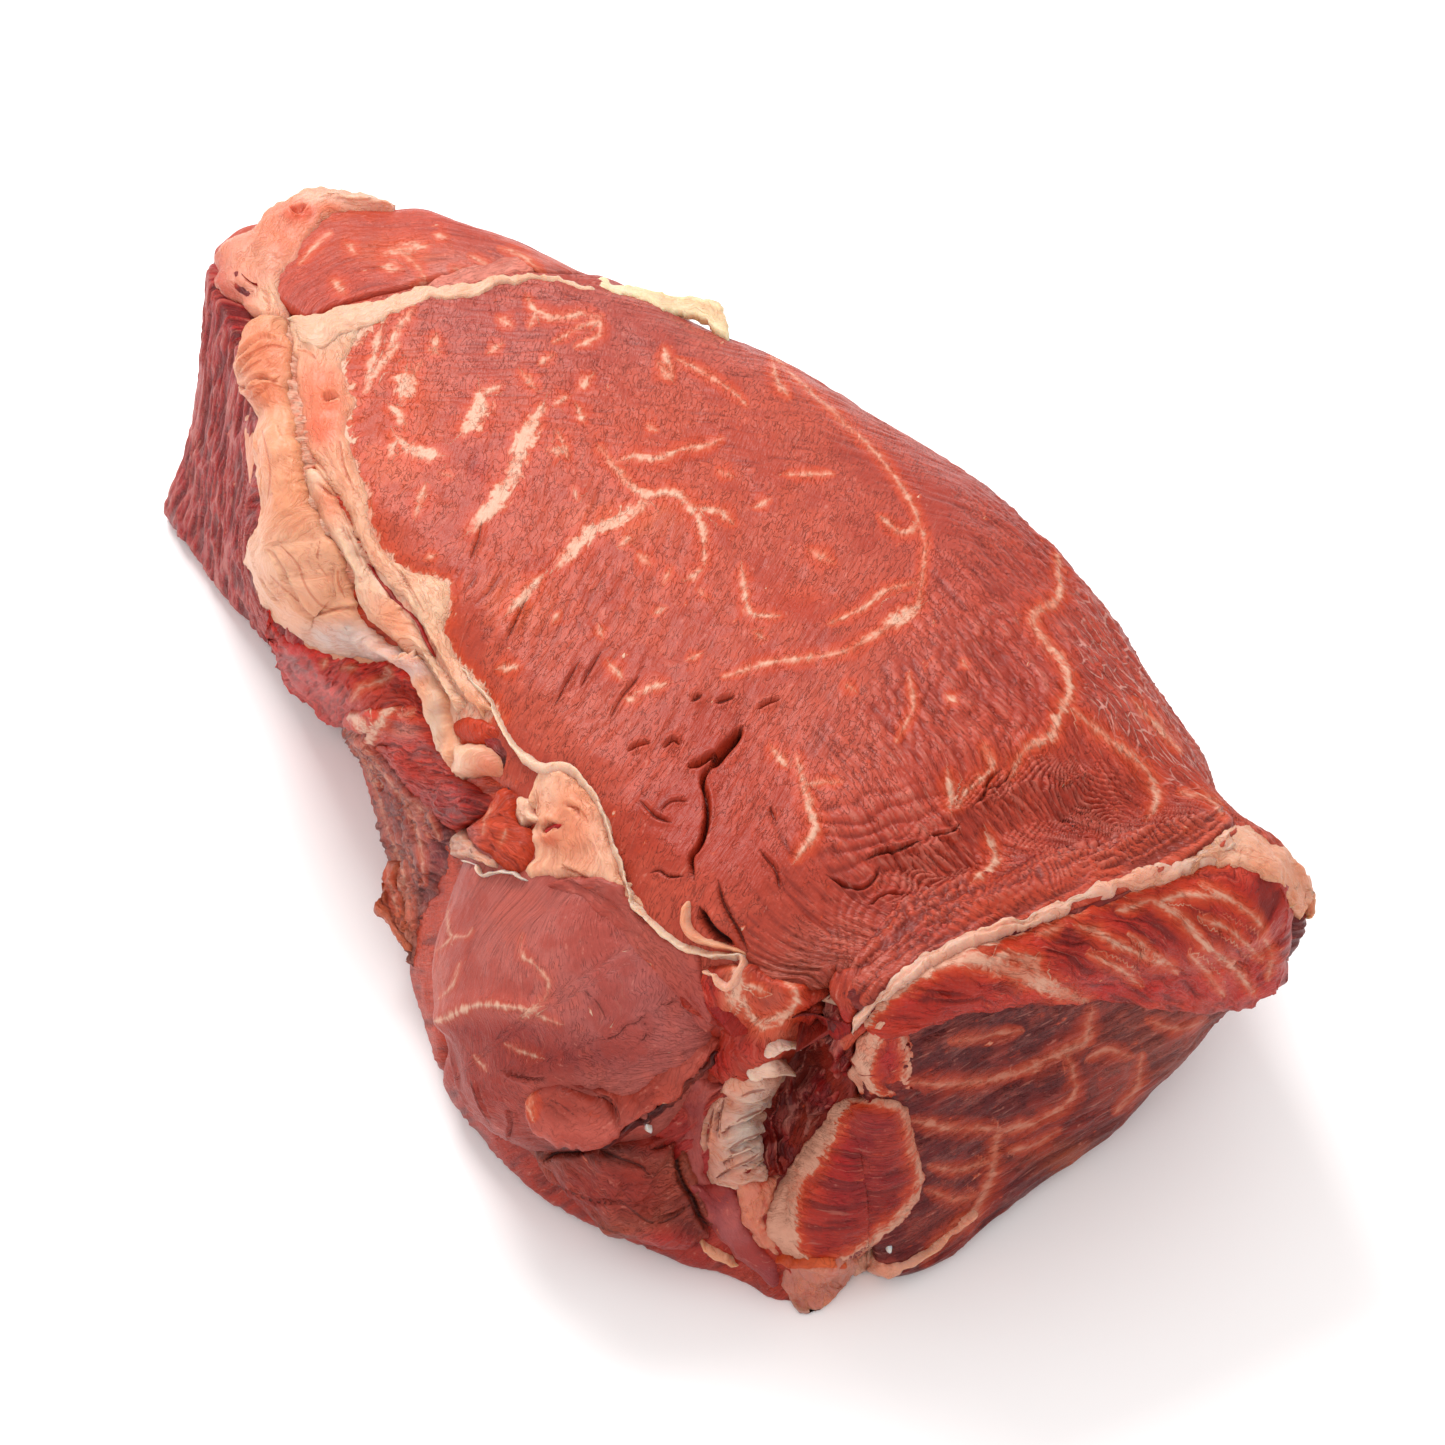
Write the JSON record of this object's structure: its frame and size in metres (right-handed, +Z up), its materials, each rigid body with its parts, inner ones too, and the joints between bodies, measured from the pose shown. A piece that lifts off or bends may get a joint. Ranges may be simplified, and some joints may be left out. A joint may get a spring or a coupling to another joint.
{
  "type": "raw boneless beef rib roast",
  "caption": "Uncooked boneless beef rib roast: a long uneven block of marbled red muscle with pale fat seams, a folded lobe and a deep cleft at one end, resting on its flat cut underside.",
  "frame": {"origin": "middle of the bounding box, at the height of the flat underside", "axes": "+X along the roast's length towards the end with the folded lobe and the cleft, +Y towards the rounded long side, +Z up out of the broad cut face"},
  "size_m": [0.2714, 0.1654, 0.084],
  "materials": {
    "meat": "moist raw red muscle with fine grain, pale cream fat seams and marbling, satin wet sheen"
  },
  "bodies": {
    "root": {"roast": "meat"}
  },
  "joints": []
}
